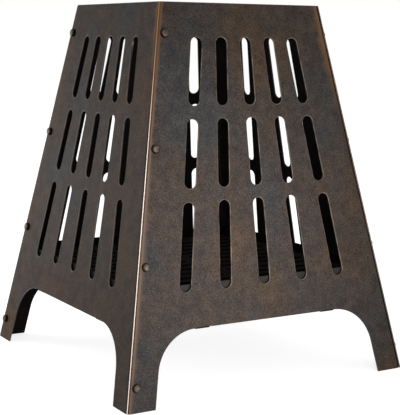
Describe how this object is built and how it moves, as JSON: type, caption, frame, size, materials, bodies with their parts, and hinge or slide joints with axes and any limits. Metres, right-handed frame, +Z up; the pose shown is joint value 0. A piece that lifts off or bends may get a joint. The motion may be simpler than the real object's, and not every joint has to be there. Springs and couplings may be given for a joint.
{
  "type": "fire basket",
  "caption": "Tapering square fire basket of slotted sheet walls on arched legs, screwed at the corners, with a loose slotted grate in an ash pan.",
  "frame": {"origin": "on the floor, under the middle of the basket", "axes": "+Z up, the front wall faces -Y, +X to the right seen from the front"},
  "size_m": [0.43, 0.43, 0.5],
  "materials": {
    "wall_coating": "mottled antique bronze coating outside, matt black inside",
    "screw_bronze": "bronzed",
    "nut_steel": "blackened",
    "pan_black": "matt black heat-proof paint",
    "grate_black": "matt black heat-proof paint"
  },
  "bodies": {
    "basket": {"front_wall": "wall_coating", "right_wall": "wall_coating", "back_wall": "wall_coating", "left_wall": "wall_coating", "front_screw_1": "screw_bronze", "front_screw_2": "screw_bronze", "front_screw_3": "screw_bronze", "front_screw_4": "screw_bronze", "right_screw_1": "screw_bronze", "right_screw_2": "screw_bronze", "right_screw_3": "screw_bronze", "right_screw_4": "screw_bronze", "back_screw_1": "screw_bronze", "back_screw_2": "screw_bronze", "back_screw_3": "screw_bronze", "back_screw_4": "screw_bronze", "left_screw_1": "screw_bronze", "left_screw_2": "screw_bronze", "left_screw_3": "screw_bronze", "left_screw_4": "screw_bronze", "front_nut_1": "nut_steel", "front_nut_2": "nut_steel", "front_nut_3": "nut_steel", "front_nut_4": "nut_steel", "right_nut_1": "nut_steel", "right_nut_2": "nut_steel", "right_nut_3": "nut_steel", "right_nut_4": "nut_steel", "back_nut_1": "nut_steel", "back_nut_2": "nut_steel", "back_nut_3": "nut_steel", "back_nut_4": "nut_steel", "left_nut_1": "nut_steel", "left_nut_2": "nut_steel", "left_nut_3": "nut_steel", "left_nut_4": "nut_steel"},
    "ash_pan": {"ash_pan": "pan_black"},
    "grate": {"grate": "grate_black"}
  },
  "joints": [
    {"name": "pan_lift", "type": "slide", "parent": "basket", "child": "ash_pan", "axis": [0, 0, 1], "range_m": [0, 0.008]},
    {"name": "grate_lift", "type": "slide", "parent": "ash_pan", "child": "grate", "axis": [0, 0, 1], "range_m": [0, 0.03]}
  ]
}
